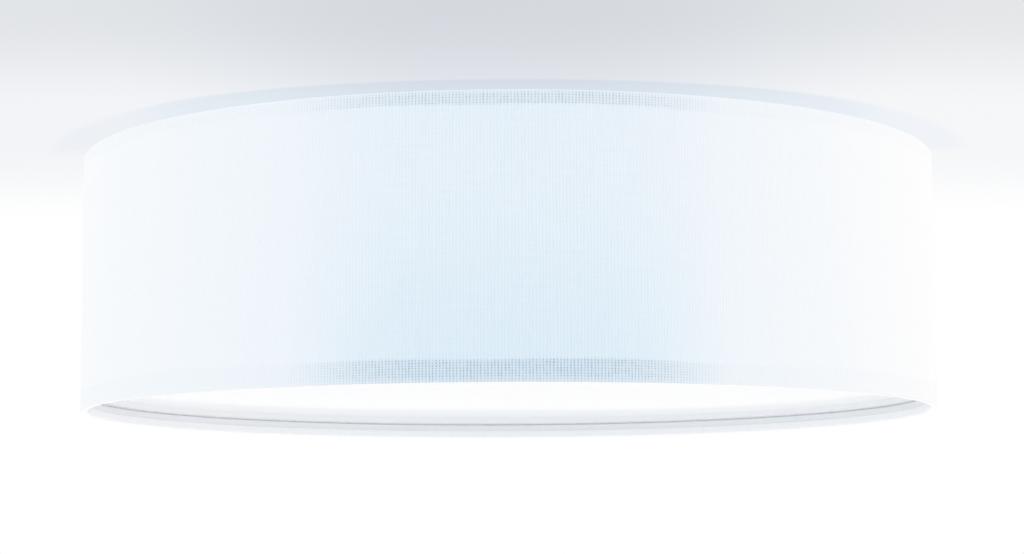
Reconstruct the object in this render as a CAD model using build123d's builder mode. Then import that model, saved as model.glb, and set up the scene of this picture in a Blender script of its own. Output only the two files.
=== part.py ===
"""Flush mount ceiling light: a woven drum shade on a steel ceiling pan, with two screw-in lamps
and a loose opal disc that closes the drum from below.

Millimetres. The ceiling is the plane z = 0, the light hangs below it, and the lamps lie along X.
"""
from build123d import *
from math import radians, sqrt, tan
import os

os.makedirs("parts", exist_ok=True)

# Shade
shade_diameter = 400
shade_height = 118
ceiling_gap = 2
fabric_thickness = 0.5
turn_in_height = 3.85
hoop_height = 6.9
hoop_thickness = 2.4
hoop_edge_chamfer = 0.6
fold_radius = 0.9
liner_thickness = 0.4
lower_hem_height = 9

# Diffuser disc
diffuser_thickness = 2.8
diffuser_clearance = 0.4
diffuser_edge_round = 0.3

# Spider that carries the shade
arm_count = 3
arm_diameter = 3.2
arm_bend_radius = 12
arm_end_flat = 11
arm_clearance = 0.2
first_arm_angle = 90
hub_thickness = 1.2
hub_rim_width = 5.5
hub_hole_clearance = 0.3

# Ceiling pan
sheet_thickness = 1
pan_depth = 23
crown_diameter = 132
pan_wall_draft = 4
pan_bend_radius = 2.5
flange_diameter = 198
slot_spacing = 160
slot_length = 10
slot_width = 5

# Studs, washers and thumb nuts
stud_inset = 6.5
stud_diameter = 4
stud_length = 16
stud_head_diameter = 6
stud_head_thickness = 0.5
stud_point_chamfer = 0.5
washer_diameter = 9
washer_thickness = 1
washer_clearance = 0.15
nut_collar_diameter = 9.2
nut_collar_height = 3.5
nut_grip_diameter = 14
nut_grip_height = 4.5
nut_grip_chamfer = 0.5
nut_clearance = 0.1

# Bracket under the pan
lamp_axis_depth = 52
strap_thickness = 1.5
strap_width = 24
strap_span = 32
strap_bend_radius = 1.5
strap_end_length = 13
strap_end_radius = 11.5
rivet_spacing = 14
rivet_diameter = 4
rivet_head_diameter = 7
rivet_head_thickness = 1.1

# Cable entry
cable_entry_x = 31
cable_entry_y = 36
grommet_bore = 7
grommet_hole = 10.4
grommet_diameter = 15
grommet_lip = 1.5
grommet_lip_taper = 0.5

# Terminal block
block_x = -8
block_y = 36
block_depth = 17
block_base_height = 3
block_ear_length = 6.5
block_ear_depth = 9
pole_count = 3
pole_pitch = 10
pole_width = 8.4
pole_height = 13
pole_bore_depth = 7
tower_diameter = 6.4
tower_height = 1.6
tower_spacing = 8.5
sleeve_diameter = 4.8
sleeve_bore = 3.2
sleeve_inset = 1
screw_well_diameter = 4.2
clamp_screw_diameter = 3
clamp_screw_sink = 1.2
block_screw_diameter = 3
block_screw_head_diameter = 5.4
block_screw_head_height = 2.2
screw_point_length = 1.5

# Earth point
earth_x = -43
earth_y = 6
earth_screw_diameter = 4
earth_head_diameter = 8
earth_head_height = 2.6
tag_diameter = 9
tag_thickness = 0.8
tag_neck_width = 3
tag_neck_length = 8
tag_barrel_diameter = 3.6
tag_barrel_length = 5.5

# Wires
wire_diameter = 2.2
wire_pair_pitch = 3
wire_pole_pitch = 2.4
wire_turn_radius = 8
wire_lead_length = 9
neutral_fall = 5

# Lamp holder, along the lamp axis from the strap's outer face
nipple_diameter = 10
nipple_bore = 7
nipple_clearance = 0.1
nipple_back_length = 6
nipple_front_length = 9
lock_nut_flats = 14
lock_nut_thickness = 3
holder_diameter = 39
holder_wall = 2.2
cap_length = 18
cap_back_diameter = 22
cap_dome_length = 10
cap_dome_bulge = 1.9
cap_boss_diameter = 16
shell_length = 28
shell_lip_depth = 2
shell_lip_bore = 32.4
shell_edge_round = 1.4
core_clearance = 0.3
core_back = 14
core_thickness = 6
core_rim_height = 4
thread_sleeve_bore = 27
thread_sleeve_wall = 0.5
thread_sleeve_length = 22
contact_width = 5
contact_strip = 0.5
contact_rise = 2.2
contact_foot = 7
contact_crown = 2.3
contact_slope = 2

# Lamp, along the lamp axis from its centre contact
contact_gap = 0.3
button_length = 1.6
button_diameter = 9.6
insulator_back_diameter = 11.2
insulator_front_diameter = 23.2
insulator_cone_length = 3.8
insulator_rim = 1.2
lamp_thread_diameter = 26.2
lamp_cap_wall = 0.6
lamp_cap_length = 19.4
lamp_cap_nose = 1.6
lamp_cap_lip = 1.2
collar_start = 24
collar_end = 57
collar_wall = 1.6
collar_back_diameter = 29
collar_front_diameter = 55
collar_belly = 0.9
board_thickness = 1.2
board_rebate = 0.7
globe_diameter = 60
globe_wall = 1.5
lamp_length = 108

# Places that follow from the sizes
shade_radius = shade_diameter / 2
shade_top = -ceiling_gap
shade_bottom = shade_top - shade_height
hoop_outer = shade_radius - fabric_thickness
hoop_inner = hoop_outer - hoop_thickness
flap_inner = hoop_inner - fabric_thickness
top_hoop_edge = shade_top - fabric_thickness
bottom_hoop_edge = shade_bottom + fabric_thickness
ledge = bottom_hoop_edge + hoop_height
liner_top = top_hoop_edge - hoop_height
liner_bottom = shade_bottom + lower_hem_height
liner_inner = hoop_outer - liner_thickness

flange_radius = flange_diameter / 2
crown_radius = crown_diameter / 2
crown_inside = sheet_thickness - pan_depth
stud_circle = flange_radius - stud_inset
first_stud_angle = first_arm_angle - 180 / arm_count
hub_bottom = -sheet_thickness - hub_thickness
hub_outer = stud_circle + hub_rim_width
hub_inner = stud_circle - hub_rim_width
washer_bottom = hub_bottom - washer_thickness

lamp_axis_z = -lamp_axis_depth
strap_outer = strap_span / 2
strap_inner = strap_outer - strap_thickness
holder_radius = holder_diameter / 2
core_front = core_back + core_thickness
lamp_tip = core_front + contact_strip + contact_rise + contact_gap
block_bore_z = -pan_depth - pole_bore_depth
block_wire_face = block_y - block_depth / 2


def keep(piece, node):
    """Labels a finished piece and writes it to its own file."""
    piece.part.label = node
    export_step(piece.part, f"parts/{node}.step")


def upright_plane(angle):
    """Plane through the light's axis: its x is outward at that angle, its y is up."""
    outward = Vector(1, 0, 0).rotate(Axis.Z, angle)
    return Plane((0, 0, 0), x_dir=outward, z_dir=outward.cross(Vector(0, 0, 1)))


# The two lamp planes: x runs outward along the lamp from the strap's outer face, y is up
lamp_planes = {
    "a": Plane((strap_outer, 0, lamp_axis_z), x_dir=(1, 0, 0), z_dir=(0, -1, 0)),
    "b": Plane((-strap_outer, 0, lamp_axis_z), x_dir=(-1, 0, 0), z_dir=(0, 1, 0)),
}


# ---------------------------------------------------------------- shade

# Cloth: a tube whose two edges turn in over the hoops
with BuildPart() as fabric_cover:
    with BuildSketch(Plane.XZ):
        with Locations(((flap_inner + shade_radius) / 2, (shade_top + shade_bottom) / 2)):
            RectangleRounded(shade_radius - flap_inner, shade_height, fold_radius)
            Rectangle(hoop_thickness, shade_height - 2 * fabric_thickness, mode=Mode.SUBTRACT)
        with Locations(((flap_inner + hoop_inner) / 2, (shade_top + shade_bottom) / 2)):
            Rectangle(fabric_thickness, shade_height - 2 * turn_in_height, mode=Mode.SUBTRACT)
    revolve(axis=Axis.Z)
keep(fabric_cover, "fabric_cover")

with BuildPart() as shade_liner:
    with BuildSketch(Plane.XZ):
        with Locations((liner_inner, liner_bottom)):
            Rectangle(liner_thickness, liner_top - liner_bottom, align=(Align.MIN, Align.MIN))
    revolve(axis=Axis.Z)
keep(shade_liner, "shade_liner")

# Flat strip hoops: the bare inner edge is eased, and the cloth turns over the other edge
with BuildPart() as bottom_ring:
    with BuildSketch(Plane.XZ) as strip:
        with Locations((hoop_inner, bottom_hoop_edge)):
            Rectangle(hoop_thickness, hoop_height, align=(Align.MIN, Align.MIN))
        chamfer(strip.vertices().sort_by_distance((hoop_inner, ledge))[0], hoop_edge_chamfer)
    revolve(axis=Axis.Z)
keep(bottom_ring, "bottom_ring")

with BuildPart() as top_ring:
    with BuildSketch(Plane.XZ) as strip:
        with Locations((hoop_inner, top_hoop_edge)):
            Rectangle(hoop_thickness, hoop_height, align=(Align.MIN, Align.MAX))
        chamfer(strip.vertices().sort_by_distance((hoop_inner, liner_top))[0], hoop_edge_chamfer)
    revolve(axis=Axis.Z)
keep(top_ring, "top_ring")

with BuildPart() as spider_hub:
    with BuildSketch(Plane.XY.offset(-sheet_thickness)):
        Circle(hub_outer)
        Circle(hub_inner, mode=Mode.SUBTRACT)
        with PolarLocations(stud_circle, arm_count, start_angle=first_stud_angle):
            Circle(stud_diameter / 2 + hub_hole_clearance, mode=Mode.SUBTRACT)
    extrude(amount=-hub_thickness)
keep(spider_hub, "spider_hub")

# Wires welded flat under the hub, cranked down to meet the top hoop below the turned-in cloth
arm_hub_z = hub_bottom - arm_diameter / 2
arm_hoop_z = shade_top - turn_in_height - arm_clearance - arm_diameter / 2
arm_reach = sqrt(hoop_inner**2 - (arm_diameter / 2) ** 2)
with BuildPart() as spider_arms:
    for arm in range(arm_count):
        arm_plane = upright_plane(first_arm_angle + arm * 360 / arm_count)
        with BuildLine(arm_plane) as arm_line:
            FilletPolyline(
                (hub_inner, arm_hub_z),
                (hub_outer + arm_end_flat, arm_hub_z),
                (arm_reach - arm_end_flat, arm_hoop_z),
                (arm_reach, arm_hoop_z),
                radius=arm_bend_radius,
            )
        with BuildSketch(Plane(arm_line.line @ 0, z_dir=arm_line.line % 0)):
            Circle(arm_diameter / 2)
        sweep(path=arm_line.line)
keep(spider_arms, "spider_arms")

with BuildPart() as diffuser:
    with BuildSketch(Plane.XY.offset(ledge)):
        Circle(liner_inner - diffuser_clearance)
    extrude(amount=diffuser_thickness)
    fillet(diffuser.edges().filter_by(GeomType.CIRCLE), diffuser_edge_round)
keep(diffuser, "diffuser")


# ---------------------------------------------------------------- ceiling pan and its fastenings

grommet_places = [(cable_entry_x, cable_entry_y)]
rivet_places = [(rivet_spacing / 2, 0), (-rivet_spacing / 2, 0)]
ear_reach = (pole_count * pole_pitch + block_ear_length) / 2
ear_places = [(block_x + ear_reach, block_y), (block_x - ear_reach, block_y)]

# One pressing: a flat flange against the ceiling, a drafted wall and a flat crown below
with BuildPart() as ceiling_pan:
    with BuildSketch(Plane.XZ) as pressing:
        with BuildLine():
            Polyline(
                (flange_radius, 0),
                (flange_radius, -sheet_thickness),
                (crown_radius + pan_wall_draft, -sheet_thickness),
                (crown_radius, -pan_depth),
                (0, -pan_depth),
                (0, crown_inside),
                (crown_radius - sheet_thickness, crown_inside),
                (crown_radius + pan_wall_draft - sheet_thickness, 0),
                close=True,
            )
        make_face()
        for inner_corner, outer_corner in (
            ((crown_radius + pan_wall_draft, -sheet_thickness), (crown_radius + pan_wall_draft, 0)),
            ((crown_radius - sheet_thickness, crown_inside), (crown_radius, -pan_depth)),
        ):
            fillet(pressing.vertices().sort_by_distance(inner_corner)[0], pan_bend_radius)
            fillet(pressing.vertices().sort_by_distance(outer_corner)[0], pan_bend_radius + sheet_thickness)
    revolve(axis=Axis.Z)
    with BuildSketch(Plane.XY):
        with Locations((slot_spacing / 2, 0), (-slot_spacing / 2, 0)):
            SlotOverall(slot_length, slot_width)
    extrude(amount=-sheet_thickness, mode=Mode.SUBTRACT)
    with PolarLocations(stud_circle, arm_count, start_angle=first_stud_angle):
        CounterBoreHole(stud_diameter / 2, stud_head_diameter / 2, stud_head_thickness)
    with Locations(*rivet_places):
        Hole(rivet_diameter / 2)
    with Locations(*grommet_places):
        Hole(grommet_hole / 2)
    with Locations(*ear_places):
        Hole(block_screw_diameter / 2)
    with Locations((earth_x, earth_y)):
        Hole(earth_screw_diameter / 2)
keep(ceiling_pan, "ceiling_pan")

with BuildPart() as shade_studs:
    with PolarLocations(stud_circle, arm_count, start_angle=first_stud_angle):
        Cylinder(stud_head_diameter / 2, stud_head_thickness, align=(Align.CENTER, Align.CENTER, Align.MAX))
        Cylinder(stud_diameter / 2, stud_length, align=(Align.CENTER, Align.CENTER, Align.MAX))
    chamfer(shade_studs.edges().group_by(Axis.Z)[0], stud_point_chamfer)
keep(shade_studs, "shade_studs")

# A washer and a knurled nut on each stud; the nut's collar bears on the washer
for number in range(arm_count):
    stud_plane = Plane(Vector(stud_circle, 0, 0).rotate(Axis.Z, first_stud_angle + number * 360 / arm_count))
    with BuildPart() as nut_washer:
        with BuildSketch(stud_plane.offset(hub_bottom)):
            Circle(washer_diameter / 2)
            Circle(stud_diameter / 2 + washer_clearance, mode=Mode.SUBTRACT)
        extrude(amount=-washer_thickness)
    keep(nut_washer, f"nut_washer_{number + 1}")

    with BuildPart() as thumb_nut:
        with BuildSketch(stud_plane.offset(washer_bottom)):
            Circle(nut_collar_diameter / 2)
        extrude(amount=-nut_collar_height)
        with BuildSketch(stud_plane.offset(washer_bottom - nut_collar_height)):
            Circle(nut_grip_diameter / 2)
        extrude(amount=-nut_grip_height)
        chamfer(
            thumb_nut.edges().filter_by(GeomType.CIRCLE).group_by(SortBy.RADIUS)[-1],
            nut_grip_chamfer,
        )
        with BuildSketch(stud_plane.offset(washer_bottom)):
            Circle(stud_diameter / 2 + nut_clearance)
        extrude(amount=-nut_collar_height - nut_grip_height, mode=Mode.SUBTRACT)
    keep(thumb_nut, f"thumb_nut_{number + 1}")

# U strap: the base lies under the crown, the legs carry the two lamp holders
with BuildPart() as holder_bracket:
    with BuildSketch(Plane.XZ) as strap_section:
        with BuildLine():
            Polyline(
                (strap_outer, lamp_axis_z - strap_end_length),
                (strap_outer, -pan_depth),
                (-strap_outer, -pan_depth),
                (-strap_outer, lamp_axis_z - strap_end_length),
                (-strap_inner, lamp_axis_z - strap_end_length),
                (-strap_inner, -pan_depth - strap_thickness),
                (strap_inner, -pan_depth - strap_thickness),
                (strap_inner, lamp_axis_z - strap_end_length),
                close=True,
            )
        make_face()
        corners = strap_section.vertices().group_by(Axis.Y)
        fillet(corners[-1], strap_bend_radius + strap_thickness)
        fillet(corners[-2], strap_bend_radius)
    extrude(amount=strap_width / 2, both=True)
    fillet(holder_bracket.edges().filter_by(Axis.X).group_by(Axis.Z)[0], strap_end_radius)
    with Locations(*[(x, y, -pan_depth) for x, y in rivet_places]):
        Hole(rivet_diameter / 2, depth=strap_thickness)
    with Locations((0, 0, lamp_axis_z)):
        Cylinder(
            nipple_diameter / 2 + nipple_clearance,
            strap_span,
            rotation=(0, 90, 0),
            mode=Mode.SUBTRACT,
        )
keep(holder_bracket, "holder_bracket")

# Rivets through crown and strap, a flat head on each side
with BuildPart() as bracket_rivets:
    with Locations(*[(x, y, crown_inside) for x, y in rivet_places]):
        Cylinder(rivet_head_diameter / 2, rivet_head_thickness, align=(Align.CENTER, Align.CENTER, Align.MIN))
        Cylinder(
            rivet_diameter / 2,
            sheet_thickness + strap_thickness,
            align=(Align.CENTER, Align.CENTER, Align.MAX),
        )
    with Locations(*[(x, y, -pan_depth - strap_thickness) for x, y in rivet_places]):
        Cylinder(rivet_head_diameter / 2, rivet_head_thickness, align=(Align.CENTER, Align.CENTER, Align.MAX))
keep(bracket_rivets, "bracket_rivets")

# Rubber ring whose groove grips the edge of the cable hole
grommet_plane = Plane((cable_entry_x, cable_entry_y, 0), x_dir=(1, 0, 0), z_dir=(0, -1, 0))
with BuildPart() as cable_grommet:
    with BuildSketch(grommet_plane):
        with BuildLine():
            Polyline(
                (grommet_bore / 2, crown_inside + grommet_lip),
                (grommet_diameter / 2 - grommet_lip_taper, crown_inside + grommet_lip),
                (grommet_diameter / 2, crown_inside),
                (grommet_hole / 2, crown_inside),
                (grommet_hole / 2, -pan_depth),
                (grommet_diameter / 2, -pan_depth),
                (grommet_diameter / 2 - grommet_lip_taper, -pan_depth - grommet_lip),
                (grommet_bore / 2, -pan_depth - grommet_lip),
                close=True,
            )
        make_face()
    revolve(axis=Axis(grommet_plane.origin, (0, 0, 1)))
keep(cable_grommet, "cable_grommet")


# ---------------------------------------------------------------- terminal block and earth point

pole_places = [block_x + (pole - (pole_count - 1) / 2) * pole_pitch for pole in range(pole_count)]
tower_places = [(x, block_y + side * tower_spacing / 2) for x in pole_places for side in (-1, 1)]
tower_tip = -pan_depth - pole_height - tower_height

with BuildPart() as terminal_block:
    with BuildSketch(Plane.XY.offset(-pan_depth)):
        with Locations((block_x, block_y)):
            Rectangle(pole_count * pole_pitch, block_depth)
            Rectangle(pole_count * pole_pitch + 2 * block_ear_length, block_ear_depth)
    extrude(amount=-block_base_height)
    with BuildSketch(Plane.XY.offset(-pan_depth)):
        with Locations(*[(x, block_y) for x in pole_places]):
            Rectangle(pole_width, block_depth)
    extrude(amount=-pole_height)
    with BuildSketch(Plane.XY.offset(-pan_depth)):
        with Locations(*tower_places):
            Circle(tower_diameter / 2)
    extrude(amount=-pole_height - tower_height)
    with BuildSketch(Plane.XZ.offset(-block_y)):
        with Locations(*[(x, block_bore_z) for x in pole_places]):
            Circle(sleeve_diameter / 2)
    extrude(amount=block_depth / 2, both=True, mode=Mode.SUBTRACT)
    with BuildSketch(Plane.XY.offset(tower_tip)):
        with Locations(*tower_places):
            Circle(screw_well_diameter / 2)
    extrude(amount=block_bore_z - tower_tip, mode=Mode.SUBTRACT)
    with Locations(*[(x, y, -pan_depth) for x, y in ear_places]):
        Hole(block_screw_diameter / 2, depth=block_base_height)
keep(terminal_block, "terminal_block")

# Brass tube in each pole, with a clamping screw from the room side near each end
with BuildPart() as terminal_sleeves:
    with BuildSketch(Plane.XZ.offset(-block_y)):
        with Locations(*[(x, block_bore_z) for x in pole_places]):
            Circle(sleeve_diameter / 2)
            Circle(sleeve_bore / 2, mode=Mode.SUBTRACT)
    extrude(amount=block_depth / 2 - sleeve_inset, both=True)
keep(terminal_sleeves, "terminal_sleeves")

with BuildPart() as terminal_screws:
    with BuildSketch(Plane.XY.offset(tower_tip + clamp_screw_sink)):
        with Locations(*tower_places):
            Circle(clamp_screw_diameter / 2)
    extrude(amount=block_bore_z - sleeve_diameter / 2 - tower_tip - clamp_screw_sink)
keep(terminal_screws, "terminal_screws")

with BuildPart() as block_screws:
    with Locations(*[(x, y, -pan_depth - block_base_height) for x, y in ear_places]):
        Cylinder(
            block_screw_head_diameter / 2,
            block_screw_head_height,
            align=(Align.CENTER, Align.CENTER, Align.MAX),
        )
        Cylinder(
            block_screw_diameter / 2,
            block_base_height + sheet_thickness + screw_point_length,
            align=(Align.CENTER, Align.CENTER, Align.MIN),
        )
keep(block_screws, "block_screws")

# Ring tag under the earth screw, with a crimped barrel for the wire
barrel_start = earth_x + tag_neck_length
barrel_z = -pan_depth - tag_barrel_diameter / 2
with BuildPart() as earth_tag:
    with BuildSketch(Plane.XY.offset(-pan_depth)):
        with Locations((earth_x, earth_y)):
            Circle(tag_diameter / 2)
            Rectangle(tag_neck_length, tag_neck_width, align=(Align.MIN, Align.CENTER))
            Circle(earth_screw_diameter / 2, mode=Mode.SUBTRACT)
    extrude(amount=-tag_thickness)
    with BuildSketch(Plane.YZ.offset(barrel_start)):
        with Locations((earth_y, barrel_z)):
            Circle(tag_barrel_diameter / 2)
    extrude(amount=tag_barrel_length)
keep(earth_tag, "earth_tag")

with BuildPart() as earth_screw:
    with Locations((earth_x, earth_y, -pan_depth - tag_thickness)):
        Cylinder(earth_head_diameter / 2, earth_head_height, align=(Align.CENTER, Align.CENTER, Align.MAX))
        Cylinder(
            earth_screw_diameter / 2,
            tag_thickness + sheet_thickness + screw_point_length,
            align=(Align.CENTER, Align.CENTER, Align.MIN),
        )
keep(earth_screw, "earth_screw")


# ---------------------------------------------------------------- wires

def bend_radii(points):
    """Radius at each inner point: as large as its shorter run allows, up to the wire's usual bend."""
    radii = []
    for before, corner, after in zip(points, points[1:], points[2:]):
        arriving = Vector(*corner) - Vector(*before)
        leaving = Vector(*after) - Vector(*corner)
        half_turn = radians(arriving.get_angle(leaving)) / 2
        shorter = min(arriving.length, leaving.length)
        radii.append(min(wire_turn_radius, 0.45 * shorter / tan(half_turn)))
    return radii


def holder_wire(side, pole_x, fall, lane):
    """Route from a pole to the holder on that side (+1 or -1), through the nipple's bore."""
    down_x = side * wire_pair_pitch / 2
    leave_x = pole_x + side * wire_pole_pitch / 2
    return [
        (leave_x, block_wire_face + sleeve_inset, block_bore_z),
        (leave_x, block_wire_face - wire_lead_length, block_bore_z),
        (down_x, lane, block_bore_z - fall),
        (down_x, lane, lamp_axis_z),
        (side * (strap_outer + core_back), lane, lamp_axis_z),
    ]


earth_pole, live_pole, neutral_pole = pole_places

wire_routes = {
    "live_wires": [holder_wire(side, live_pole, 0, -wire_pair_pitch / 2) for side in (1, -1)],
    "neutral_wires": [
        holder_wire(side, neutral_pole, neutral_fall, wire_pair_pitch / 2) for side in (1, -1)
    ],
    "earth_wire": [
        [
            (barrel_start + tag_barrel_length, earth_y, barrel_z),
            (earth_pole, earth_y, barrel_z),
            (earth_pole, block_wire_face - wire_lead_length, block_bore_z),
            (earth_pole, block_wire_face + sleeve_inset, block_bore_z),
        ]
    ],
}

for node, routes in wire_routes.items():
    with BuildPart() as wires:
        for points in routes:
            radii = bend_radii(points)
            with BuildLine() as route:
                FilletPolyline(*points, radius=radii)
            with BuildSketch(Plane(route.line @ 0, z_dir=route.line % 0)):
                Circle(wire_diameter / 2)
            sweep(path=route.line)
            print(node, "bend radii, mm:", [round(radius, 1) for radius in radii])
    keep(wires, node)


# ---------------------------------------------------------------- lamp holders

with BuildPart() as holder_nipples:
    for plane in lamp_planes.values():
        with BuildSketch(Plane(plane.origin, z_dir=plane.x_dir).offset(-nipple_back_length)):
            Circle(nipple_diameter / 2)
            Circle(nipple_bore / 2, mode=Mode.SUBTRACT)
        extrude(amount=nipple_back_length + nipple_front_length)
keep(holder_nipples, "holder_nipples")

with BuildPart() as holder_nuts:
    for plane in lamp_planes.values():
        with BuildSketch(Plane(plane.origin, z_dir=plane.x_dir).offset(-strap_thickness)):
            RegularPolygon(lock_nut_flats / 2, 6, major_radius=False)
            Circle(nipple_diameter / 2, mode=Mode.SUBTRACT)
        extrude(amount=-lock_nut_thickness)
keep(holder_nuts, "holder_nuts")

bore_radius = nipple_diameter / 2
cap_back = cap_back_diameter / 2
holder_inner = holder_radius - holder_wall
cap_boss = cap_boss_diameter / 2
sleeve_inner = thread_sleeve_bore / 2
sleeve_outer = sleeve_inner + thread_sleeve_wall
shell_end = cap_length + shell_length

for letter, plane in lamp_planes.items():
    lamp_axis = Axis(plane.origin, plane.x_dir)

    # Rear dome, screwed on the nipple
    with BuildPart() as holder_cap:
        with BuildSketch(plane):
            with BuildLine():
                Polyline((0, bore_radius), (0, cap_back))
                SagittaArc((0, cap_back), (cap_dome_length, holder_radius), cap_dome_bulge)
                Polyline(
                    (cap_dome_length, holder_radius),
                    (cap_length, holder_radius),
                    (cap_length, holder_inner),
                    (cap_dome_length, holder_inner),
                )
                SagittaArc(
                    (cap_dome_length, holder_inner), (holder_wall, cap_back - holder_wall), -cap_dome_bulge
                )
                Polyline(
                    (holder_wall, cap_back - holder_wall),
                    (holder_wall, cap_boss),
                    (nipple_front_length, cap_boss),
                    (nipple_front_length, bore_radius),
                    (0, bore_radius),
                )
            make_face()
        revolve(axis=lamp_axis)
    keep(holder_cap, f"holder_cap_{letter}")

    # Front sleeve, with a lip round the lamp's neck
    with BuildPart() as holder_shell:
        with BuildSketch(plane) as sleeve_section:
            with BuildLine():
                Polyline(
                    (cap_length, holder_inner),
                    (cap_length, holder_radius),
                    (shell_end, holder_radius),
                    (shell_end, shell_lip_bore / 2),
                    (shell_end - shell_lip_depth, shell_lip_bore / 2),
                    (shell_end - shell_lip_depth, holder_inner),
                    close=True,
                )
            make_face()
            front_corner = sleeve_section.vertices().sort_by_distance((shell_end, holder_radius))[0]
            fillet(front_corner, shell_edge_round)
        revolve(axis=lamp_axis)
    keep(holder_shell, f"holder_shell_{letter}")

    # Porcelain insert: a disc across the holder, and a rim that centres the threaded sleeve
    with BuildPart() as holder_core:
        with BuildSketch(plane):
            with BuildLine():
                Polyline(
                    (core_back, 0),
                    (core_back, holder_inner - core_clearance),
                    (core_front + core_rim_height, holder_inner - core_clearance),
                    (core_front + core_rim_height, sleeve_outer),
                    (core_front, sleeve_outer),
                    (core_front, 0),
                    close=True,
                )
            make_face()
        revolve(axis=lamp_axis)
    keep(holder_core, f"holder_core_{letter}")

    with BuildPart() as screw_sleeve:
        with BuildSketch(plane):
            with Locations((core_front, sleeve_inner)):
                Rectangle(thread_sleeve_length, thread_sleeve_wall, align=(Align.MIN, Align.MIN))
        revolve(axis=lamp_axis)
    keep(screw_sleeve, f"screw_sleeve_{letter}")

    # Spring leaf, arched towards the lamp
    with BuildPart() as centre_contact:
        with BuildSketch(plane):
            with BuildLine():
                Polyline(
                    (core_front, contact_foot),
                    (core_front + contact_strip, contact_foot),
                    (core_front + contact_strip, contact_crown + contact_slope),
                    (core_front + contact_strip + contact_rise, contact_crown),
                    (core_front + contact_strip + contact_rise, -contact_crown),
                    (core_front + contact_strip, -contact_crown - contact_slope),
                    (core_front + contact_strip, -contact_foot),
                    (core_front, -contact_foot),
                    (core_front, contact_strip - contact_crown - contact_slope),
                    (core_front + contact_rise, contact_strip - contact_crown),
                    (core_front + contact_rise, contact_crown - contact_strip),
                    (core_front, contact_crown + contact_slope - contact_strip),
                    close=True,
                )
            make_face()
        extrude(amount=contact_width / 2, both=True)
    keep(centre_contact, f"centre_contact_{letter}")


# ---------------------------------------------------------------- lamps

insulator_front = button_length + insulator_cone_length
cap_start = insulator_front + insulator_rim
cap_end = cap_start + lamp_cap_length
thread_radius = lamp_thread_diameter / 2
insulator_radius = insulator_front_diameter / 2
collar_radius = collar_front_diameter / 2
globe_radius = globe_diameter / 2
globe_centre = lamp_length - globe_radius

for letter, holder_plane in lamp_planes.items():
    plane = Plane(
        holder_plane.origin + holder_plane.x_dir * lamp_tip,
        x_dir=holder_plane.x_dir,
        z_dir=holder_plane.z_dir,
    )
    lamp_axis = Axis(plane.origin, plane.x_dir)

    with BuildPart() as bulb_button:
        with BuildSketch(plane):
            with BuildLine():
                TangentArc((0, 0), (button_length, button_diameter / 2), tangent=(0, 1))
                Polyline((button_length, button_diameter / 2), (button_length, 0), (0, 0))
            make_face()
        revolve(axis=lamp_axis)
    keep(bulb_button, f"bulb_button_{letter}")

    with BuildPart() as bulb_insulator:
        with BuildSketch(plane):
            with BuildLine():
                Polyline(
                    (button_length, 0),
                    (button_length, insulator_back_diameter / 2),
                    (insulator_front, insulator_radius),
                    (cap_start, insulator_radius),
                    (cap_start, 0),
                    close=True,
                )
            make_face()
        revolve(axis=lamp_axis)
    keep(bulb_insulator, f"bulb_insulator_{letter}")

    # Screw cap: a thin metal cup whose rolled edge sits on the insulator
    with BuildPart() as bulb_cap:
        with BuildSketch(plane):
            with BuildLine():
                Polyline(
                    (cap_start, insulator_radius - lamp_cap_lip),
                    (cap_start, insulator_radius + lamp_cap_wall),
                    (cap_start + lamp_cap_nose, thread_radius),
                    (cap_end, thread_radius),
                    (cap_end, thread_radius - lamp_cap_wall),
                    (cap_start + lamp_cap_nose, thread_radius - lamp_cap_wall),
                    (cap_start + lamp_cap_wall, insulator_radius),
                    (cap_start + lamp_cap_wall, insulator_radius - lamp_cap_lip),
                    close=True,
                )
            make_face()
        revolve(axis=lamp_axis)
    keep(bulb_cap, f"bulb_cap_{letter}")

    # Plastic body that flares from the cap to the globe, with a rebate for the board
    with BuildPart() as bulb_collar:
        with BuildSketch(plane):
            with BuildLine():
                Polyline((collar_start, thread_radius), (collar_start, collar_back_diameter / 2))
                SagittaArc(
                    (collar_start, collar_back_diameter / 2), (collar_end, collar_radius), collar_belly
                )
                Polyline(
                    (collar_end, collar_radius),
                    (collar_end, collar_radius - board_rebate),
                    (collar_end - board_thickness, collar_radius - board_rebate),
                    (collar_end - board_thickness, collar_radius - board_rebate - collar_wall),
                )
                SagittaArc(
                    (collar_end - board_thickness, collar_radius - board_rebate - collar_wall),
                    (cap_end, thread_radius),
                    -collar_belly,
                )
                Polyline((cap_end, thread_radius), (collar_start, thread_radius))
            make_face()
        revolve(axis=lamp_axis)
    keep(bulb_collar, f"bulb_collar_{letter}")

    with BuildPart() as bulb_board:
        with BuildSketch(plane):
            with Locations((collar_end, 0)):
                Rectangle(board_thickness, collar_radius - board_rebate, align=(Align.MAX, Align.MIN))
        revolve(axis=lamp_axis)
    keep(bulb_board, f"bulb_board_{letter}")

    # Opal dome: part of a sphere that runs on into the collar's flare
    with BuildPart() as bulb_globe:
        with BuildSketch(plane):
            with BuildLine():
                TangentArc((globe_centre, globe_radius), (collar_end, collar_radius), tangent=(-1, 0))
                Line((collar_end, collar_radius), (collar_end, collar_radius - globe_wall))
                TangentArc(
                    (globe_centre, globe_radius - globe_wall),
                    (collar_end, collar_radius - globe_wall),
                    tangent=(-1, 0),
                )
                CenterArc((globe_centre, 0), globe_radius - globe_wall, 0, 90)
                Line((lamp_length - globe_wall, 0), (lamp_length, 0))
                CenterArc((globe_centre, 0), globe_radius, 0, 90)
            make_face()
        revolve(axis=lamp_axis)
    keep(bulb_globe, f"bulb_globe_{letter}")
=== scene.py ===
"""Looks of the flush mount ceiling light. Metres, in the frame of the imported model: the ceiling is
the plane z = 0, the light hangs below it, its lamps lie along X and -Y faces the camera."""

import bpy
import math
from mathutils import Matrix, Vector


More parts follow.
